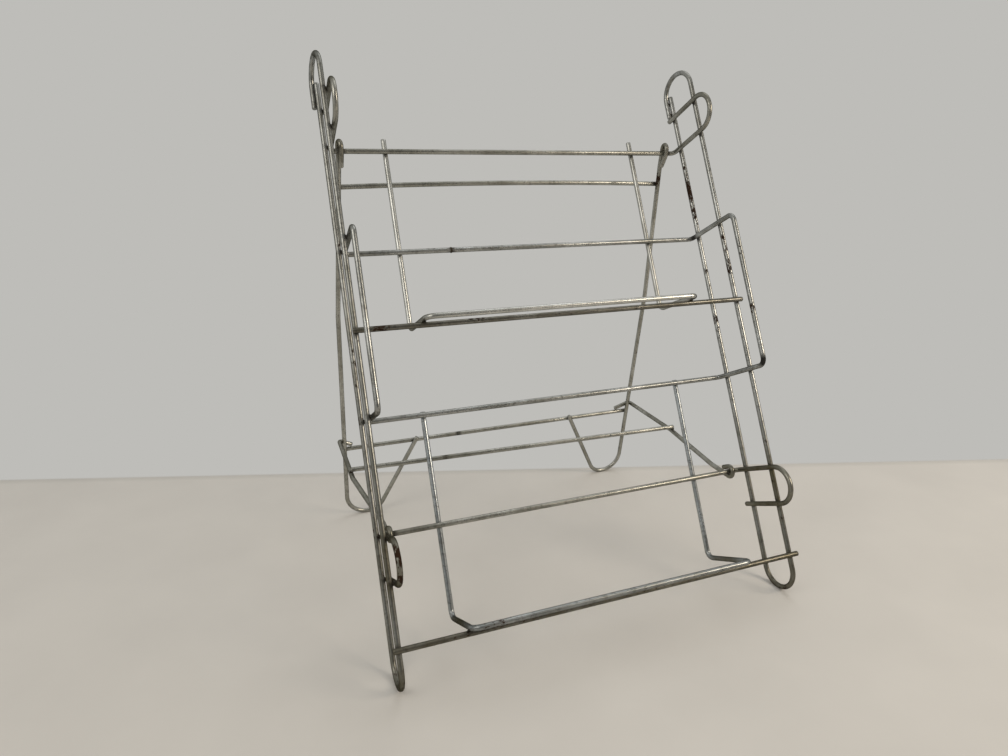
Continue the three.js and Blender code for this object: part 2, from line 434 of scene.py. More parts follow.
@dataclass(frozen=True)
class Corner:
    """A corner of a wire's route, with the radius that it is bent to."""

    x: float
    y: float
    z: float
    radius: float = 0.0

    @property
    def at(self) -> Vector:
        """The corner's place."""
        return Vector((self.x, self.y, self.z))

    def mirrored(self) -> "Corner":
        """The same corner on the other side of the rack."""
        return Corner(-self.x, self.y, self.z, self.radius)


@dataclass(frozen=True)
class Weld:
    """A resistance weld between two wires that touch, as a squeezed lumpy bead between their surfaces."""

    at: Vector
    across: Vector
    size: float = 1.9 * MM
    thickness: float = 0.85 * MM
    burn: float = 0.75
    burn_reach: float = 4.6 * MM
    lump_size: float = 0.9 * MM
    lump_swell: float = 0.16


@dataclass(frozen=True)
class Wear:
    """A stretch of wire that is worn through to rust, burnt or filmed over."""

    at: Vector
    reach: float
    strength: float
    layer: Layer = Layer.RUST


def film_along(start: Vector, run: Vector, count: int, reach: float, strength: float) -> list[Wear]:
    """Film over a whole stretch of wire, in patches that run into each other.

    Args:
        start: the first patch's place.
        run: the way from the first patch to the last.
        count: how many patches there are.
        reach: each patch's reach.
        strength: each patch's strength.

    Returns:
        The patches.
    """
    return [Wear(start + run * (i / (count - 1)), reach, strength, Layer.FILM) for i in range(count)]


@dataclass(frozen=True)
class Wire:
    """One wire: the solid it stands for, its finish and its route."""

    node: str
    finish: ZincFinish
    route: list[Corner]
    stands: bool = False


class Bender:
    """Feeds and bends one wire, as a wire bender does, and keeps the mesh that comes out."""

    def __init__(self) -> None:
        """Start with an empty mesh."""
        self.mesh = bmesh.new()
        self.layers = {
            Layer.WIRE: self.mesh.verts.layers.float_vector.new(Layer.WIRE.value),
        }
        for layer in (Layer.SCORCH, Layer.RUST, Layer.FILM):
            self.layers[layer] = self.mesh.verts.layers.float.new(layer.value)
        self.rim: list[bmesh.types.BMEdge] = []
        self.fed = 0.0

    def start(self, at: Vector, heading: Vector) -> None:
        """Cut the wire's first end.

        Args:
            at: centre of the end.
            heading: direction in which the wire leaves it.
        """
        made = bmesh.ops.create_circle(
            self.mesh, cap_ends=True, segments=STOCK.sides, radius=STOCK.diameter / 2,
            matrix=axes_along(at, heading))
        for i, vert in enumerate(made["verts"]):
            angle = 2 * math.pi * i / STOCK.sides
            vert[self.layers[Layer.WIRE]] = (math.cos(angle), math.sin(angle), 0.0)
        self.rim = [edge for edge in self.mesh.edges if edge.is_boundary]

    def mark_fed(self, verts: list[bmesh.types.BMVert], length: float) -> None:
        """Count a length of wire as fed, and write it on the newest ring.

        Args:
            verts: the ring's points.
            length: the length.
        """
        self.fed += length
        layer = self.layers[Layer.WIRE]
        for vert in verts:
            vert[layer] = (vert[layer][0], vert[layer][1], self.fed)

    def feed(self, heading: Vector, length: float) -> None:
        """Push a straight length of wire out.

        Args:
            heading: unit direction of the straight.
            length: its length.
        """
        if length < STOCK.least_feed:
            return
        steps = max(1, round(length / STOCK.feed_step))
        for _ in range(steps):
            grown = bmesh.ops.extrude_edge_only(self.mesh, edges=self.rim)["geom"]
            verts = [item for item in grown if isinstance(item, bmesh.types.BMVert)]
            bmesh.ops.translate(self.mesh, verts=verts, vec=heading * (length / steps))
            self.rim = [item for item in grown if isinstance(item, bmesh.types.BMEdge) and item.is_boundary]
            self.mark_fed(verts, length / steps)

    def bend(self, centre: Vector, axis: Vector, angle: float, radius: float) -> None:
        """Turn the wire round a former.

        Args:
            centre: a point on the former's axis.
            axis: the former's unit axis.
            angle: how far the wire turns.
            radius: the bend's radius at the wire's centre.
        """
        arc = radius * angle
        steps = max(
            STOCK.least_bend_steps, math.ceil(angle / STOCK.bend_step), math.ceil(arc / STOCK.feed_step))
        for _ in range(steps):
            ring = self.rim + list(dict.fromkeys(vert for edge in self.rim for vert in edge.verts))
            spun = bmesh.ops.spin(
                self.mesh, geom=ring, cent=centre, axis=axis, angle=angle / steps, steps=1,
                use_duplicate=False, use_merge=False)["geom_last"]
            self.rim = [item for item in spun if isinstance(item, bmesh.types.BMEdge)]
            verts = [item for item in spun if isinstance(item, bmesh.types.BMVert)]
            self.mark_fed(verts, arc / steps)

    def run(self, route: list[Corner]) -> None:
        """Bend the wire along a whole route and dress its two ends.

        Args:
            route: the corners from one end to the other.
        """
        points = [corner.at for corner in route]
        headings = [(b - a).normalized() for a, b in zip(points, points[1:])]
        self.start(points[0], headings[0])
        here = points[0]
        for corner, into, out in zip(route[1:-1], headings, headings[1:]):
            turn = into.angle(out)
            begin = corner.at - into * (corner.radius * math.tan(turn / 2))
            self.feed(into, (begin - here).dot(into))
            side = (out - into * out.dot(into)).normalized()
            self.bend(begin + side * corner.radius, into.cross(side), turn, corner.radius)
            here = corner.at + out * (corner.radius * math.tan(turn / 2))
        self.feed(headings[-1], (points[-1] - here).dot(headings[-1]))
        bmesh.ops.edgeloop_fill(self.mesh, edges=self.rim)
        ends = [face for face in self.mesh.faces if len(face.verts) == STOCK.sides]
        rims = list(dict.fromkeys(edge for face in ends for edge in face.edges))
        bmesh.ops.bevel(
            self.mesh, geom=rims, offset=STOCK.end_bevel, offset_type="OFFSET", segments=2, profile=0.5,
            affect="EDGES", material=-1)

    def mark_near(self, layer: Layer, at: Vector, reach: float, strength: float) -> None:
        """Write a value on the points round a place, fading with distance.

        Args:
            layer: the value to write.
            at: the place, in the wire's own axes.
            reach: distance at which the value has faded to about a third.
            strength: the value at the place itself.
        """
        key = self.layers[layer]
        for vert in self.mesh.verts:
            share = strength * math.exp(-((vert.co - at).length / reach) ** 2)
            vert[key] = max(vert[key], share)

    def cut_at_floor(self) -> None:
        """Wear the wire flat where it stands on the floor."""
        parts = self.mesh.verts[:] + self.mesh.edges[:] + self.mesh.faces[:]
        cut = bmesh.ops.bisect_plane(
            self.mesh, geom=parts, dist=FLOOR_TOLERANCE, plane_co=(0, 0, 0), plane_no=UP, clear_inner=True)
        edges = [item for item in cut["geom_cut"] if isinstance(item, bmesh.types.BMEdge)]
        bmesh.ops.edgeloop_fill(self.mesh, edges=edges)


def finished_piece(name: str, mesh: bmesh.types.BMesh, finish: ZincFinish, body: str) -> bpy.types.Object:
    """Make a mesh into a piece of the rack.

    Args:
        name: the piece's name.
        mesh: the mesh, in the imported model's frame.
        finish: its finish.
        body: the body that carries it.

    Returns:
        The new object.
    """
    bmesh.ops.recalc_face_normals(mesh, faces=mesh.faces)
    data = bpy.data.meshes.new(name)
    mesh.to_mesh(data)
    mesh.free()
    data.shade_smooth()
    data.set_sharp_from_angle(angle=SHARP_ANGLE)
    data.materials.append(finish.material())
    piece = bpy.data.objects.new(name, data)
    bpy.context.scene.collection.objects.link(piece)
    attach(piece, body)
    log.info("%s: %d faces on %s", name, len(data.polygons), body)
    return piece


@dataclass
class WireAssembly:
    """Wires welded together into one body of the rack, in axes of their own."""

    place: Matrix = field(default_factory=lambda: Matrix.Identity(4))
    body: str = ""

    def wires(self) -> list[Wire]:
        """The assembly's wires."""
        return []

    def welds(self) -> list[Weld]:
        """The assembly's welds."""
        return []

    def wear(self) -> list[Wear]:
        """Where the assembly's wires are worn."""
        return []

    def build(self) -> None:
        """Bend each wire in place of its solid and add the welds."""
        welds = self.welds()
        wear = self.wear()
        for wire in self.wires():
            bender = Bender()
            bender.run(wire.route)
            for weld in welds:
                bender.mark_near(Layer.SCORCH, weld.at, weld.burn_reach, weld.burn)
            for patch in wear:
                bender.mark_near(patch.layer, patch.at, patch.reach, patch.strength)
            bender.mesh.transform(self.place)
            if wire.stands:
                bender.cut_at_floor()
            piece = finished_piece(f"{wire.node}_bent", bender.mesh, wire.finish, self.body)
            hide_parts(wire.node)
        self.build_welds(welds)

    def build_welds(self, welds: list[Weld]) -> None:
        """Make the assembly's welds as one piece of separate beads.

        Args:
            welds: the welds, in the assembly's axes.
        """
        mesh = bmesh.new()
        for weld in welds:
            squeeze = Matrix.Diagonal((weld.size, weld.size, weld.thickness, 1.0))
            bead = bmesh.ops.create_icosphere(
                mesh, subdivisions=3, radius=1.0, matrix=axes_along(weld.at, weld.across) @ squeeze)
            for vert in bead["verts"]:
                swell = weld.lump_swell * noise.noise(vert.co / weld.lump_size)
                vert.co += (vert.co - weld.at) * swell
        mesh.transform(self.place)
        finished_piece(f"{self.body}_welds", mesh, WELD_SCALE, self.body)


class Spot(NamedTuple):
    """A rusted place on a side loop: its height and its reach in millimetres, and the rust's strength."""

    height: float
    reach: float
    strength: float


RIGHT_BACK_RUST = (
    Spot(440, 14, 0.7), Spot(418, 20, 1.0), Spot(392, 16, 0.9), Spot(357, 7, 0.7), Spot(328, 7, 0.75),
    Spot(309, 6, 0.7), Spot(274, 8, 0.95), Spot(263, 6, 0.7), Spot(192, 10, 0.6),
)
RIGHT_FRONT_RUST = (
    Spot(349, 10, 0.7), Spot(339, 9, 0.8), Spot(320, 12, 0.95), Spot(237, 6, 0.6), Spot(143, 6, 0.8),
    Spot(70, 18, 0.6),
)
LEFT_BACK_RUST = (
    Spot(372, 8, 0.8), Spot(275, 22, 0.62), Spot(250, 18, 0.55), Spot(217, 8, 0.8), Spot(119, 6, 0.8),
    Spot(85, 6, 0.8),
)
LEFT_FRONT_RUST = (Spot(275, 18, 0.5), Spot(85, 6, 0.7))


@dataclass
class FrontFrame(WireAssembly):
    """The sloping front frame: side loops, bars, guards, rods and shelves, with Z up its slope."""

    body: str = "front_frame"
    loop_width: float = 37 * MM
    loop_height: float = 543 * MM
    lap_bottom: float = 504.5 * MM
    lap_top: float = 528 * MM
    lap_side: float = -3.9 * MM
    lap_back: float = 3.2 * MM
    lap_weld_rise: float = 3 * MM
    lap_weld_drop: float = 8 * MM
    top_bar_height: float = 465.5 * MM
    guard_top_height: float = 366.5 * MM
    upper_rod_height: float = 285 * MM
    guard_bottom_height: float = 214.5 * MM
    low_bar_height: float = 117 * MM
    lower_rod_height: float = 33 * MM
    bar_setback: float = 6.8 * MM
    guard_reach: float = 64 * MM
    ear_depth: float = 35 * MM
    ear_overrun: float = 4 * MM
    bar_bend: float = 4.8 * MM
    guard_bend: float = 7 * MM
    butt_joint_x: float = -85 * MM
    butt_size: float = 2.75 * MM
    butt_thickness: float = 1.8 * MM
    butt_burn_reach: float = 4.2 * MM
    upper_rod_overhang: float = 3 * MM
    lower_rod_overhang: float = 5 * MM
    shelf_width: float = 266.5 * MM
    shelf_reach: float = 54 * MM
    shelf_bend: float = 7 * MM
    lip_bend: float = 8 * MM
    upper_shelf_rise: float = 5 * MM
    lower_shelf_rise: float = -1 * MM
    shelf_end_rise: float = 14.5 * MM
    lower_shelf_end_rise: float = 3.5 * MM
    hook_inset: float = 15 * MM

    @property
    def loop_x(self) -> float:
        """Centre of the right side loop."""
        return LOOP_SPACING / 2

    @property
    def ear_x(self) -> float:
        """Centre of the right ears and guard, against the inner side of the loop."""
        return self.loop_x - STOCK.pitch

    @property
    def rod_y(self) -> float:
        """Centre of the shelf rods, against the front of the loops."""
        return -(self.loop_width + STOCK.pitch)

    @property
    def shelf_back_y(self) -> float:
        """Centre of the shelf uprights, against the back of the bars."""
        return self.bar_setback + STOCK.pitch

    def loop_route(self, x: float) -> list[Corner]:
        """Route of a side loop.

        Args:
            x: centre of the loop.

        Returns:
            The corners, from the upright's end at the lap round to the end that lies beside it.
        """
        low = self.loop_width / 2
        top = math.hypot(self.loop_width + self.lap_back, self.lap_side) / 2
        return [
            Corner(x, 0, self.lap_top),
            Corner(x, 0, 0, low),
            Corner(x, -self.loop_width, 0, low),
            Corner(x, -self.loop_width, self.loop_height, top),
            Corner(x + self.lap_side, self.lap_back, self.loop_height, top),
            Corner(x + self.lap_side, self.lap_back, self.lap_bottom),
        ]

    def ear_bar_route(self, height: float, rise: float) -> list[Corner]:
        """Route of a bar with an ear at each end.

        Args:
            height: height of the bar.
            rise: how far the ears turn up, or down if negative.

        Returns:
            The corners, from one ear's end to the other's.
        """
        turn = abs(rise) / 2
        half = [
            Corner(self.ear_x, self.ear_overrun, height + rise),
            Corner(self.ear_x, -self.guard_reach, height + rise, turn),
            Corner(self.ear_x, -self.guard_reach, height, turn),
            Corner(self.ear_x, self.bar_setback, height, self.bar_bend),
        ]
        return half + [corner.mirrored() for corner in reversed(half)]

    def guard_route(self) -> list[Corner]:
        """Route of the side guard wire.

        Returns:
            The corners, from one side of its butt joint to the other.
        """
        right = [
            Corner(self.ear_x, self.bar_setback, self.guard_top_height, self.bar_bend),
            Corner(self.ear_x, -self.guard_reach, self.guard_top_height, self.guard_bend),
            Corner(self.ear_x, -self.guard_reach, self.guard_bottom_height, self.guard_bend),
            Corner(self.ear_x, self.bar_setback, self.guard_bottom_height, self.bar_bend),
        ]
        left = [corner.mirrored() for corner in reversed(right)]
        first = Corner(self.butt_joint_x + STOCK.seam / 2, self.bar_setback, self.guard_top_height)
        last = Corner(self.butt_joint_x - STOCK.seam / 2, self.bar_setback, self.guard_top_height)
        return [first] + right + left + [last]

    def rod_route(self, height: float, overhang: float) -> list[Corner]:
        """Route of a straight rod across the front of the loops."""
        end = self.loop_x + overhang
        return [Corner(-end, self.rod_y, height), Corner(end, self.rod_y, height)]

    def shelf_run_height(self, y: float, rod_height: float, rise: float) -> float:
        """Height of a shelf's run at a depth, on a line that rests on its rod."""
        slope = rise / (self.shelf_back_y + self.shelf_reach)
        return rod_height + STOCK.pitch + slope * (y - self.rod_y)

    def shelf_route(self, rod_height: float, rise: float, end_height: float) -> list[Corner]:
        """Route of a shelf wire: down behind the bars, forward over the rod and across the lip.

        Args:
            rod_height: height of the rod that it rests on.
            rise: how much higher its runs are at the back than at the lip.
            end_height: height of its two ends.

        Returns:
            The corners, from one end to the other.
        """
        x = self.shelf_width / 2
        back = self.shelf_run_height(self.shelf_back_y, rod_height, rise)
        lip = self.shelf_run_height(-self.shelf_reach, rod_height, rise)
        half = [
            Corner(x, self.shelf_back_y, end_height),
            Corner(x, self.shelf_back_y, back, self.shelf_bend),
            Corner(x, -self.shelf_reach, lip, self.lip_bend),
        ]
        return half + [corner.mirrored() for corner in reversed(half)]

    def wires(self) -> list[Wire]:
        """The front frame's wires.

        Returns:
            The wires, from the loops to the lower shelf.
        """
        upper_end = self.top_bar_height + self.shelf_end_rise
        lower_end = self.guard_bottom_height + self.lower_shelf_end_rise
        return [
            Wire("left_side_loop", DULL_ZINC, self.loop_route(-self.loop_x), stands=True),
            Wire("right_side_loop", DULL_ZINC, self.loop_route(self.loop_x), stands=True),
            Wire("top_bar_with_ears", TARNISHED_ZINC,
                 self.ear_bar_route(self.top_bar_height, self.ear_depth)),
            Wire("side_guard_wire", DULL_ZINC, self.guard_route()),
            Wire("upper_shelf_rod", DARK_ROD_ZINC,
                 self.rod_route(self.upper_rod_height, self.upper_rod_overhang)),
            Wire("upper_shelf_wire", BRIGHT_ZINC,
                 self.shelf_route(self.upper_rod_height, self.upper_shelf_rise, upper_end)),
            Wire("low_bar_with_ears", TARNISHED_ZINC,
                 self.ear_bar_route(self.low_bar_height, -self.ear_depth)),
            Wire("lower_shelf_rod", DARK_ROD_ZINC,
                 self.rod_route(self.lower_rod_height, self.lower_rod_overhang)),
            Wire("lower_shelf_wire", COOL_ZINC,
                 self.shelf_route(self.lower_rod_height, self.lower_shelf_rise, lower_end)),
        ]

    def side_welds(self, side: int) -> list[Weld]:
        """Welds on one side of the front frame.

        Args:
            side: -1 for the left, 1 for the right.

        Returns:
            The welds of the ears and guards, the rods, the lap and the shelves.
        """
        half = STOCK.pitch / 2
        loop_x = side * self.loop_x
        shelf_x = side * self.shelf_width / 2
        bars = (self.top_bar_height, self.guard_top_height, self.guard_bottom_height, self.low_bar_height)
        ears = (self.top_bar_height + self.ear_depth, self.low_bar_height - self.ear_depth)
        rods = (self.upper_rod_height, self.lower_rod_height)
        made = []
        for height in bars + ears:
            for y in (0, -self.loop_width):
                made.append(Weld(Vector((loop_x - side * half, y, height)), ACROSS))
        for height in rods:
            made.append(Weld(Vector((loop_x, self.rod_y + half, height)), BACK))
            made.append(Weld(Vector((shelf_x, self.rod_y, height + half)), UP, burn=0.5))
        for height in bars:
            made.append(Weld(Vector((shelf_x, self.bar_setback + half, height)), BACK, burn=0.6))
        for height in (self.lap_bottom + self.lap_weld_rise, self.lap_top - self.lap_weld_drop):
            between = Vector((loop_x + self.lap_side / 2, self.lap_back / 2, height))
            made.append(Weld(between, Vector((self.lap_side, self.lap_back, 0)), burn=0.55))
        return made

    def welds(self) -> list[Weld]:
        """Welds where the front frame's wires cross, and the collar of the guard's butt weld."""
        butt = Weld(
            Vector((self.butt_joint_x, self.bar_setback, self.guard_top_height)), ACROSS, size=self.butt_size,
            thickness=self.butt_thickness, burn=1.0, burn_reach=self.butt_burn_reach)
        return self.side_welds(-1) + self.side_welds(1) + [butt]

    def loop_rust(self) -> list[Wear]:
        """Rusted places on the side loops.

        Returns:
            The places, on the back and the front of each loop.
        """
        stretches = (
            (self.loop_x, 0, RIGHT_BACK_RUST), (self.loop_x, -self.loop_width, RIGHT_FRONT_RUST),
            (-self.loop_x, 0, LEFT_BACK_RUST), (-self.loop_x, -self.loop_width, LEFT_FRONT_RUST),
        )
        return [
            Wear(Vector((x, y, spot.height * MM)), spot.reach * MM, spot.strength)
            for x, y, spots in stretches for spot in spots
        ]

    def guard_and_rod_wear(self) -> list[Wear]:
        """Rusted and burnt places on the guards, the left low ear and the rods.

        Returns:
            The places.
        """
        front = -self.guard_reach
        return [
            Wear(Vector((self.ear_x, 0, self.guard_top_height)), 6.5 * MM, 1.0, Layer.SCORCH),
            Wear(Vector((-self.ear_x, 0, self.guard_top_height)), 6 * MM, 0.9, Layer.SCORCH),
            Wear(Vector((self.ear_x, front, 330 * MM)), 26 * MM, 0.5),
            Wear(Vector((self.ear_x, front, 271 * MM)), 9 * MM, 0.9),
            Wear(Vector((self.ear_x, front, 218 * MM)), 7 * MM, 1.0, Layer.SCORCH),
            Wear(Vector((-self.ear_x, front, 105 * MM)), 12 * MM, 1.0),
            Wear(Vector((-self.ear_x, front, 86 * MM)), 10 * MM, 0.9),
            Wear(Vector((-171 * MM, self.rod_y, self.upper_rod_height)), 14 * MM, 0.8),
            Wear(Vector((-110 * MM, self.rod_y, self.lower_rod_height)), 60 * MM, 0.6),
            Wear(Vector((20 * MM, self.rod_y, self.lower_rod_height)), 40 * MM, 0.5),
        ]

    def side_wear(self, side: int) -> list[Wear]:
        """Film and rust that both sides share, on the ears, the loop's foot, the shelf runs and the hooks.

        Args:
            side: -1 for the left, 1 for the right.

        Returns:
            The worn places.
        """
        middle = -self.loop_width / 2
        ear_middle = -self.guard_reach / 2
        run_x = side * self.shelf_width / 2
        hook_x = side * (self.loop_x - self.hook_inset)
        top_ear = Vector((side * self.ear_x, ear_middle, self.top_bar_height + self.ear_depth / 2))
        low_ear = Vector((side * self.ear_x, ear_middle, self.low_bar_height - self.ear_depth / 2))
        return [
            Wear(Vector((run_x, middle, self.upper_rod_height + STOCK.pitch)), 28 * MM, 0.35, Layer.FILM),
            Wear(Vector((run_x, middle, self.lower_rod_height + STOCK.pitch)), 28 * MM, 0.8, Layer.FILM),
            Wear(Vector((side * self.loop_x, middle, 8 * MM)), 60 * MM, 0.7, Layer.FILM),
            Wear(Vector((side * self.loop_x, middle, 0)), 42 * MM, 0.6),
            Wear(top_ear, 46 * MM, 0.35, Layer.FILM),
            Wear(low_ear, 46 * MM, 0.9, Layer.FILM),
            Wear(low_ear, 40 * MM, 0.5),
            Wear(Vector((hook_x, self.bar_setback, self.top_bar_height)), 5 * MM, 0.9, Layer.SCORCH),
            Wear(Vector((hook_x, self.bar_setback, self.low_bar_height)), 5 * MM, 0.9, Layer.SCORCH),
        ]

    def long_film(self) -> list[Wear]:
        """Film along the left loop, the upper shelf's right upright and the lower shelf's lip.

        Returns:
            The patches of film.
        """
        loop = Vector((-self.loop_x, -self.loop_width / 2, 0))
        upright = Vector((self.shelf_width / 2, self.shelf_back_y, 0))
        lip = Vector((0, -self.shelf_reach, self.lower_rod_height + STOCK.pitch))
        return [
            *film_along(loop + 150 * MM * UP, 300 * MM * UP, count=7, reach=38 * MM, strength=0.4),
            *film_along(upright + 310 * MM * UP, 140 * MM * UP, count=5, reach=30 * MM, strength=0.27),
            *film_along(lip - 110 * MM * ACROSS, 220 * MM * ACROSS, count=6, reach=36 * MM, strength=0.4),
        ]

    def wear(self) -> list[Wear]:
        """Rusted, burnt and filmed stretches of the front frame."""
        both_sides = self.side_wear(-1) + self.side_wear(1)
        return self.loop_rust() + self.guard_and_rod_wear() + both_sides + self.long_film()


@dataclass
class LegFrame(WireAssembly):
    """The rear leg frame, in axes on the top bar: Z up the legs."""

    body: str = "leg_frame"
    eye_inset: float = 15 * MM
    foot_inset: float = 7.6 * MM
    flare_drop: float = 165 * MM
    length: float = 415 * MM
    upper_tie_drop: float = 34.5 * MM
    lower_tie_drop: float = 328 * MM
    tie_overhang: float = 1.2 * MM
    hook_tail: float = 14 * MM
    tail_set: float = 1.5 * MM
    hook_rise: float = 3.5 * MM
    neck_drop: float = 2 * MM
    neck_bend: float = 4 * MM
    upper_tie_bow: float = 2.5 * MM
    bow_share: float = 0.98
    foot_bend: float = 24 * MM
    foot_turn: float = 20 * MM
    foot_width: float = 36.5 * MM
    foot_lean: float = math.radians(27)
    foot_end_rise: float = 6 * MM
    flare_bend: float = 30 * MM

    @property
    def eye_x(self) -> float:
        """Centre of the right leg where it hooks over the top bar."""
        return LOOP_SPACING / 2 - self.eye_inset

    @property
    def foot_x(self) -> float:
        """Centre of the right leg at its foot."""
        return LOOP_SPACING / 2 - self.foot_inset

    def leg_x(self, drop: float) -> float:
        """Centre of the right leg at a distance below the top bar."""
        share = (drop - self.hook_tail) / (self.flare_drop - self.hook_tail)
        return self.eye_x + (self.foot_x - self.eye_x) * min(1.0, max(0.0, share))

    def turn_up_x(self, drop: float) -> float:
        """Centre of the right foot's rising end at a distance below the top bar."""
        return self.foot_x - self.foot_width - (self.length - drop) * math.tan(self.foot_lean)

    def leg_route(self, side: int) -> list[Corner]:
        """Route of a leg.

        Args:
            side: -1 for the left, 1 for the right.

        Returns:
            The corners, from its hook's free end to its foot's free end.
        """
        hook = math.hypot(self.tail_set, 2 * STOCK.pitch) / 2
        hook_top = hook + self.hook_rise
        tail_x = self.eye_x - self.tail_set
        foot_end = self.lower_tie_drop - self.foot_end_rise
        return [
            Corner(side * tail_x, 0, -self.hook_tail),
            Corner(side * tail_x, -STOCK.pitch, -self.neck_drop, self.neck_bend),
            Corner(side * tail_x, -STOCK.pitch, hook_top, hook),
            Corner(side * self.eye_x, STOCK.pitch, hook_top, hook),
            Corner(side * self.eye_x, STOCK.pitch, -self.hook_tail, self.flare_bend),
            Corner(side * self.foot_x, STOCK.pitch, -self.flare_drop, self.flare_bend),
            Corner(side * self.foot_x, STOCK.pitch, -self.length, self.foot_bend),
            Corner(side * (self.foot_x - self.foot_width), STOCK.pitch, -self.length, self.foot_turn),
            Corner(side * self.turn_up_x(foot_end), STOCK.pitch, -foot_end),
        ]

    def tie_route(self, drop: float, bow: float = 0.0) -> list[Corner]:
        """Route of a tie behind the legs.

        Args:
            drop: its distance below the top bar.
            bow: how far it is bowed up at its middle.

        Returns:
            The corners, from the left end to the right.
        """
        end = self.leg_x(drop) + self.tie_overhang
        y = 2 * STOCK.pitch
        ends = [Corner(side * end, y, -drop) for side in (-1, 1)]
        if not bow:
            return ends
        radius = self.bow_share * end ** 2 / (2 * bow)
        return [ends[0], Corner(0, y, 2 * bow - drop, radius), ends[1]]

    def wires(self) -> list[Wire]:
        """The leg frame's wires.

        Returns:
            The two legs and the two ties.
        """
        return [
            Wire("left_rear_leg", TARNISHED_ZINC, self.leg_route(-1), stands=True),
            Wire("right_rear_leg", TARNISHED_ZINC, self.leg_route(1), stands=True),
            Wire("upper_leg_tie", TARNISHED_ZINC, self.tie_route(self.upper_tie_drop, self.upper_tie_bow)),
            Wire("lower_leg_tie", TARNISHED_ZINC, self.tie_route(self.lower_tie_drop)),
        ]

    def wear(self) -> list[Wear]:
        """Film on the hooks, rust down the right leg and a burnt place on the lower tie.

        Returns:
            The worn places.
        """
        burn = Vector((-46.7 * MM, 2 * STOCK.pitch, -self.lower_tie_drop))
        made = [
            Wear(Vector((self.eye_x, STOCK.pitch, -30 * MM)), 11 * MM, 0.9),
            Wear(burn, 4.5 * MM, 1.0, Layer.SCORCH),
        ]
        for side in (-1, 1):
            made.append(Wear(Vector((side * self.eye_x, 0, 4 * MM)), 15 * MM, 0.6, Layer.FILM))
        leg_rust = ((110 * MM, 12 * MM, 0.6), (215 * MM, 5 * MM, 0.8), (240 * MM, 5 * MM, 0.8))
        for drop, reach, strength in leg_rust:
            made.append(Wear(Vector((self.leg_x(drop), STOCK.pitch, -drop)), reach, strength))
        return made

    def welds(self) -> list[Weld]:
        """Welds of the ties to the legs and to the ends of the feet.

        Returns:
            The welds.
        """
        made = []
        between = 1.5 * STOCK.pitch
        for side in (-1, 1):
            for drop in (self.upper_tie_drop, self.lower_tie_drop):
                made.append(Weld(Vector((side * self.leg_x(drop), between, -drop)), BACK))
            end = side * self.turn_up_x(self.lower_tie_drop)
            made.append(Weld(Vector((end, between, -self.lower_tie_drop)), BACK))
        return made


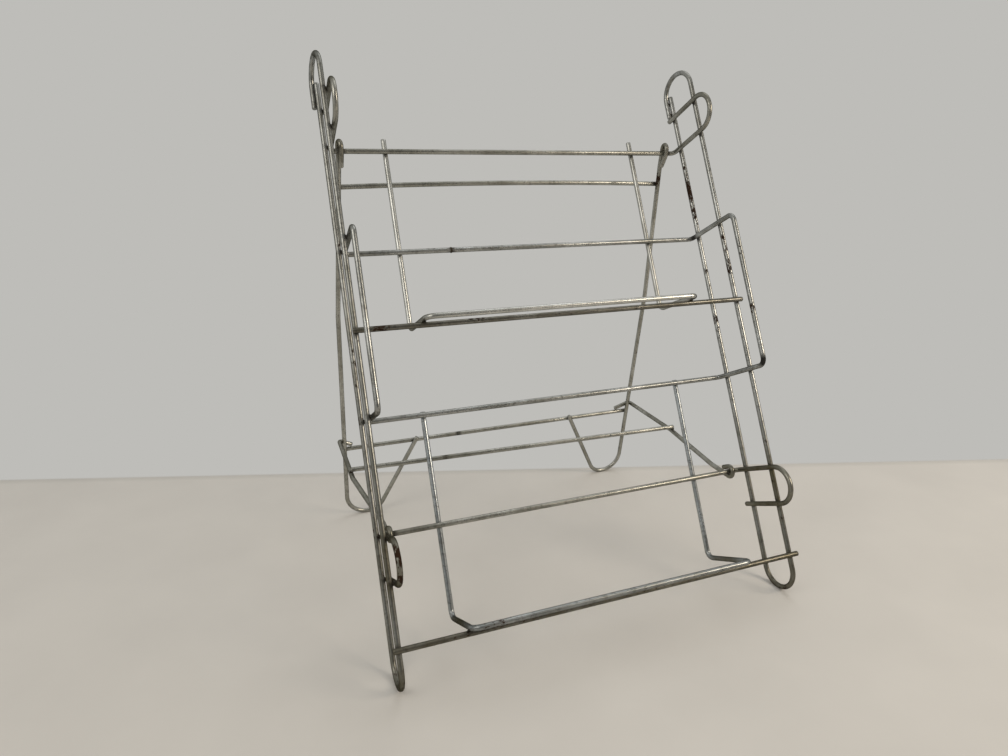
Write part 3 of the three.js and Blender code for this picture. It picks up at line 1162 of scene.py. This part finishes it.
@dataclass
class Brace(WireAssembly):
    """The brace, in axes on the low bar: Z out along the brace."""

    body: str = "brace"
    legs: LegFrame = field(default_factory=LegFrame)
    length: float = 0.0
    lean: float = 0.0
    eye_inset: float = 14 * MM
    hook_turn: float = math.radians(210)
    tail: float = 8 * MM
    flare_start: float = 28 * MM
    flare_end: float = 122 * MM
    catch_rise: float = 12 * MM
    left_catch_reach: float = 14 * MM
    right_catch_reach: float = 20 * MM
    catch_bend: float = 5 * MM
    flare_bend: float = 30 * MM
    spreader_distance: float = 125 * MM
    spreader_skew: float = 14 * MM
    spreader_overhang: float = 0.5 * MM

    @property
    def eye_x(self) -> float:
        """Centre of the right brace wire where it hooks round the low bar."""
        return LOOP_SPACING / 2 - self.eye_inset

    @property
    def outer_x(self) -> float:
        """Centre of the right brace wire where it passes outside its leg."""
        return self.legs.leg_x(self.legs.lower_tie_drop - self.catch_rise) + STOCK.pitch

    def hook_corner(self, side: int, share: float) -> Corner:
        """A corner of the hook's route.

        Args:
            side: -1 for the left, 1 for the right.
            share: share of the hook's turn, from the brace wire round the low bar.

        Returns:
            The corner.
        """
        angle = share * self.hook_turn
        distance = STOCK.pitch / math.cos(self.hook_turn / 4)
        return Corner(side * self.eye_x, distance * math.cos(angle), -distance * math.sin(angle), STOCK.pitch)

    def wire_route(self, side: int, catch_reach: float) -> list[Corner]:
        """Route of a brace wire.

        Args:
            side: -1 for the left, 1 for the right.
            catch_reach: how far its catch reaches in behind the leg.

        Returns:
            The corners, from its hook's free end to the tip of its catch.
        """
        turn_y = math.cos(self.hook_turn)
        turn_z = math.sin(self.hook_turn)
        tail_y = STOCK.pitch * turn_y - self.tail * turn_z
        tail_z = -STOCK.pitch * turn_z - self.tail * turn_y
        droop = self.catch_rise - STOCK.pitch
        tip_y = STOCK.pitch + droop * math.sin(self.lean)
        tip_z = self.length - droop * math.cos(self.lean)
        return [
            Corner(side * self.eye_x, tail_y, tail_z),
            self.hook_corner(side, 3 / 4),
            self.hook_corner(side, 1 / 4),
            Corner(side * self.eye_x, STOCK.pitch, self.flare_start, self.flare_bend),
            Corner(side * self.outer_x, STOCK.pitch, self.flare_end, self.flare_bend),
            Corner(side * self.outer_x, STOCK.pitch, self.length, self.catch_bend),
            Corner(side * (self.outer_x - catch_reach), tip_y, tip_z),
        ]

    def spreader_height(self, side: int) -> float:
        """Distance of the spreader's end from the low bar, on one side."""
        return self.spreader_distance - side * self.spreader_skew / 2

    def spreader_route(self) -> list[Corner]:
        """Route of the straight spreader on top of the two brace wires."""
        end = self.outer_x + self.spreader_overhang
        return [Corner(side * end, 0, self.spreader_height(side)) for side in (-1, 1)]

    def wires(self) -> list[Wire]:
        """The brace's wires.

        Returns:
            The two brace wires and the spreader.
        """
        return [
            Wire("left_brace_wire", TARNISHED_ZINC, self.wire_route(-1, self.left_catch_reach)),
            Wire("right_brace_wire", TARNISHED_ZINC, self.wire_route(1, self.right_catch_reach)),
            Wire("brace_spreader", TARNISHED_ZINC, self.spreader_route()),
        ]

    def wear(self) -> list[Wear]:
        """A burnt place on the spreader, and the film and rust on the hooks.

        Returns:
            The worn places.
        """
        burn = Vector((-89 * MM, 0, self.spreader_distance + self.spreader_skew / 4))
        made = [Wear(burn, 4 * MM, 0.9, Layer.SCORCH)]
        for side in (-1, 1):
            hook = Vector((side * self.eye_x, 0, 0))
            made.append(Wear(hook, 14 * MM, 0.6, Layer.FILM))
            made.append(Wear(hook, 9 * MM, 0.6))
        return made

    def welds(self) -> list[Weld]:
        """Welds of the spreader to the brace wires."""
        places = [(side * self.outer_x, STOCK.pitch / 2, self.spreader_height(side)) for side in (-1, 1)]
        return [Weld(Vector(place), BACK) for place in places]


@dataclass(frozen=True)
class Linkage:
    """How the three assemblies stand together on the floor."""

    open_angle: float = math.radians(36.2)

    def hinge(self, joint: str) -> Vector:
        """A point on a joint's axis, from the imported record."""
        found = [entry for entry in frame["record"]["behaviour"]["joints"] if entry["name"] == joint]
        return Vector(found[0]["pos_m"])

    def slope(self, front: FrontFrame, legs: LegFrame) -> float:
        """Lean of the front frame at which the loops and the rear feet stand on one floor.

        Args:
            front: the front frame.
            legs: the leg frame.

        Returns:
            The angle from upright.
        """
        centre = front.loop_width / 2
        foot_up = front.top_bar_height - legs.length * math.cos(self.open_angle)
        foot_up += STOCK.pitch * math.sin(self.open_angle)
        foot_back = front.bar_setback + legs.length * math.sin(self.open_angle)
        foot_back += STOCK.pitch * math.cos(self.open_angle)
        up = foot_up - centre
        back = foot_back + centre
        return math.acos(-centre / math.hypot(up, back)) - math.atan2(back, up)

    def set_out(self, front: FrontFrame, legs: LegFrame, brace: Brace) -> None:
        """Place the three assemblies on their hinges.

        Args:
            front: the front frame.
            legs: the leg frame.
            brace: the brace, whose length and lean are worked out here.
        """
        drop = legs.lower_tie_drop - brace.catch_rise
        behind = drop * math.sin(self.open_angle) + 2 * STOCK.pitch * math.cos(self.open_angle)
        above = front.top_bar_height - front.low_bar_height
        above += 2 * STOCK.pitch * math.sin(self.open_angle) - drop * math.cos(self.open_angle)
        brace.length = math.sqrt(behind ** 2 + above ** 2 - STOCK.pitch ** 2)
        brace_angle = math.atan2(behind, above) - math.atan2(STOCK.pitch, brace.length)
        brace.lean = self.open_angle + brace_angle

        slope = self.slope(front, legs)
        leg_axis = self.hinge("leg_fold")
        brace_axis = self.hinge("brace_fold")
        from_bar = Matrix.Translation((-leg_axis.x, -front.bar_setback, -front.top_bar_height))
        front.place = Matrix.Translation(leg_axis) @ Matrix.Rotation(-slope, 4, "X") @ from_bar
        legs.place = Matrix.Translation(leg_axis) @ Matrix.Rotation(self.open_angle - slope, 4, "X")
        brace.place = Matrix.Translation(brace_axis) @ Matrix.Rotation(-slope - brace_angle, 4, "X")


@dataclass(frozen=True)
class Lamp:
    """A square soft lamp that faces the rack, with its side in metres and its power in watts."""

    name: str
    at: Point
    size: float
    power: float
    colour: str
    aim: Point = (0.0, 0.0, 0.22)

    def add(self) -> None:
        """Add the lamp to the scene."""
        data = bpy.data.lights.new(self.name, "AREA")
        data.size = self.size
        data.energy = self.power
        data.color = linear(self.colour)[:3]
        lamp = bpy.data.objects.new(self.name, data)
        at = Vector(self.at)
        lamp.matrix_world = axes_along(at, Vector(self.aim) - at, "-Z")
        bpy.context.scene.collection.objects.link(lamp)


LAMPS = (
    Lamp("overhead_lamp", (0.8, 0.6, 1.9), size=1.2, power=5.0, colour="ffffff"),
    Lamp("left_lamp", (-1.3, -0.55, 1.35), size=1.0, power=6.5, colour="fff8ee"),
    Lamp("right_lamp", (1.2, -1.1, 1.0), size=0.7, power=12.0, colour="fff0dc"),
)


@dataclass(frozen=True)
class TableTop:
    """A matt pale laminate table top, faintly blotchy, that ends at its edge and goes on as a pale wall."""

    edge_left: Point = (-0.599, 0.419, 0.0)
    edge_right: Point = (0.715, -0.011, 0.0)
    half_size: float = 4.0
    cells: int = 24
    colour: str = "d4d1cc"
    roughness: float = 0.6
    blotches_per_metre: float = 9.0
    blotch_band: Band = Band(0.3, 0.7)
    blotch_shade: Band = Band(0.97, 1.03)
    # Painted shadow: a darker strip along the edge, where the table meets the wall
    edge_shadow_band: Band = Band(-0.014, -0.002)
    edge_shadow_level: float = 0.86
    edge_band: Band = Band(-0.002, 0.002)
    fade_band: Band = Band(1.0, 2.6)

    def add(self, wall: str) -> None:
        """Add the table top to the scene, with its own axes along its edge.

        Args:
            wall: the wall's sRGB hex colour.
        """
        left = Vector(self.edge_left)
        right = Vector(self.edge_right)
        edge = right - left
        mesh = bmesh.new()
        bmesh.ops.create_grid(mesh, x_segments=self.cells, y_segments=self.cells, size=self.half_size)
        data = bpy.data.meshes.new("table_top")
        mesh.to_mesh(data)
        mesh.free()
        data.materials.append(self.material(wall))
        floor = bpy.data.objects.new("table_top", data)
        turn = Matrix.Rotation(math.atan2(edge.y, edge.x), 4, "Z")
        floor.matrix_world = Matrix.Translation((left + right) / 2) @ turn
        bpy.context.scene.collection.objects.link(floor)

    def material(self, wall: str) -> bpy.types.Material:
        """Make the laminate, the wall beyond its edge and the fade far from the rack.

        Args:
            wall: the wall's sRGB hex colour.

        Returns:
            The material.
        """
        made = bpy.data.materials.new("pale_laminate")
        made.use_nodes = True
        tree = made.node_tree
        tree.nodes.clear()
        place = add_node(tree, "TexCoord").outputs["Object"]
        beside = add_node(tree, "SeparateXYZ", {"Vector": place}).outputs["Y"]
        beyond = add_node(tree, "MapRange", {
            "Value": beside, "From Min": self.edge_band.low, "From Max": self.edge_band.high,
        })
        wall_share = add_node(tree, "Math", {0: beyond, 1: self.seen(tree)}, operation="MULTIPLY")
        glow = add_node(tree, "Emission", {"Color": linear(wall), "Strength": 1.0})
        laminate = self.laminate(tree, place, beside)
        table = add_node(tree, "MixShader", {0: wall_share, 1: laminate, 2: glow})
        far = add_node(tree, "VectorMath", {0: place}, operation="LENGTH")
        fade = add_node(tree, "MapRange", {
            "Value": far, "From Min": self.fade_band.low, "From Max": self.fade_band.high,
        }, interpolation_type="SMOOTHSTEP")
        clear = add_node(tree, "BsdfTransparent")
        faded = add_node(tree, "MixShader", {0: fade, 1: table, 2: clear})
        add_node(tree, "OutputMaterial", {"Surface": faded})
        return made

    def laminate(
        self, tree: bpy.types.NodeTree, place: bpy.types.NodeSocket, beside: bpy.types.NodeSocket,
    ) -> bpy.types.Node:
        """Make the laminate's shader, faintly blotchy, and darker along its edge with a painted shadow where
        it meets the wall.

        Args:
            tree: the node tree.
            place: the place on the table top.
            beside: the distance from its edge.

        Returns:
            The shader node.
        """
        blotches = add_node(tree, "TexNoise", {
            "Vector": place, "Scale": self.blotches_per_metre, "Detail": 4.0,
        })
        shade = add_node(tree, "MapRange", {
            "Value": blotches, "From Min": self.blotch_band.low, "From Max": self.blotch_band.high,
            "To Min": self.blotch_shade.low, "To Max": self.blotch_shade.high,
        })
        # Painted shadow along the edge where the table meets the wall
        seam = add_node(tree, "MapRange", {
            "Value": beside, "From Min": self.edge_shadow_band.low, "From Max": self.edge_shadow_band.high,
            "To Min": 1.0, "To Max": self.edge_shadow_level,
        })
        level = add_node(tree, "Math", {0: shade, 1: seam}, operation="MULTIPLY")
        colour = add_node(tree, "Mix", {
            "Factor": 1.0, "A": linear(self.colour), "B": level,
        }, data_type="RGBA", blend_type="MULTIPLY")
        return add_node(tree, "BsdfPrincipled", {"Base Color": colour, "Roughness": self.roughness})

    def seen(self, tree: bpy.types.NodeTree) -> bpy.types.Node:
        """Tell the rays that see the wall, directly or in metal and glass, from those that only light.

        Args:
            tree: the node tree.

        Returns:
            The node that gives 1 for such a ray.
        """
        rays = add_node(tree, "LightPath").outputs
        mirrored = add_node(tree, "Math", {
            0: rays["Is Camera Ray"], 1: rays["Is Glossy Ray"],
        }, operation="MAXIMUM")
        return add_node(tree, "Math", {0: mirrored, 1: rays["Is Transmission Ray"]}, operation="MAXIMUM")


@dataclass(frozen=True)
class Studio:
    """A pale room with a table top, soft lamps and the camera at the photograph's viewpoint."""

    camera_at: Point = (-0.2711, -0.5874, 0.3975)
    aim: Point = (-0.0325, 0.0369, 0.1895)
    lens: float = 24.404
    sensor_width: float = 36.0
    clip_start: float = 0.01
    wall: str = "bebdb9"
    dim: float = 0.33
    dim_way: Point = (0.25, -0.97, 0.0)
    dim_band: Band = Band(0.3, 0.9)

    def add_camera(self) -> None:
        """Add the camera and make it the scene's own."""
        data = bpy.data.cameras.new("camera")
        data.lens = self.lens
        data.sensor_width = self.sensor_width
        data.clip_start = self.clip_start
        camera = bpy.data.objects.new("camera", data)
        at = Vector(self.camera_at)
        camera.matrix_world = axes_along(at, Vector(self.aim) - at, "-Z")
        bpy.context.scene.collection.objects.link(camera)
        bpy.context.scene.camera = camera

    def add_world(self) -> None:
        """Surround the rack with a pale room that is dimmer in front of it."""
        world = bpy.data.worlds.new("pale_room")
        world.use_nodes = True
        tree = world.node_tree
        tree.nodes.clear()
        way = add_node(tree, "TexCoord").outputs["Generated"]
        toward = add_node(tree, "VectorMath", {0: way, 1: self.dim_way}, operation="DOT_PRODUCT")
        level = add_node(tree, "MapRange", {
            "Value": toward, "From Min": self.dim_band.low, "From Max": self.dim_band.high,
            "To Min": 1.0, "To Max": self.dim,
        }, interpolation_type="SMOOTHSTEP")
        colour = add_node(tree, "Mix", {
            "Factor": 1.0, "A": linear(self.wall), "B": level,
        }, data_type="RGBA", blend_type="MULTIPLY")
        glow = add_node(tree, "Background", {"Color": colour, "Strength": 1.0})
        add_node(tree, "OutputWorld", {"Surface": glow})
        bpy.context.scene.world = world

    def build(self) -> None:
        """Set up the camera, the table top, the room and the lamps."""
        bpy.context.scene.view_settings.view_transform = "Standard"
        self.add_camera()
        TableTop().add(self.wall)
        self.add_world()
        for lamp in LAMPS:
            lamp.add()


def main() -> None:
    """Build the studio and the rack."""
    logging.basicConfig(level=logging.INFO, format="%(name)s: %(message)s")
    Studio().build()
    front = FrontFrame()
    legs = LegFrame()
    brace = Brace(legs=legs)
    Linkage().set_out(front, legs, brace)
    for assembly in (front, legs, brace):
        assembly.build()


if __name__ == "__main__":
    main()
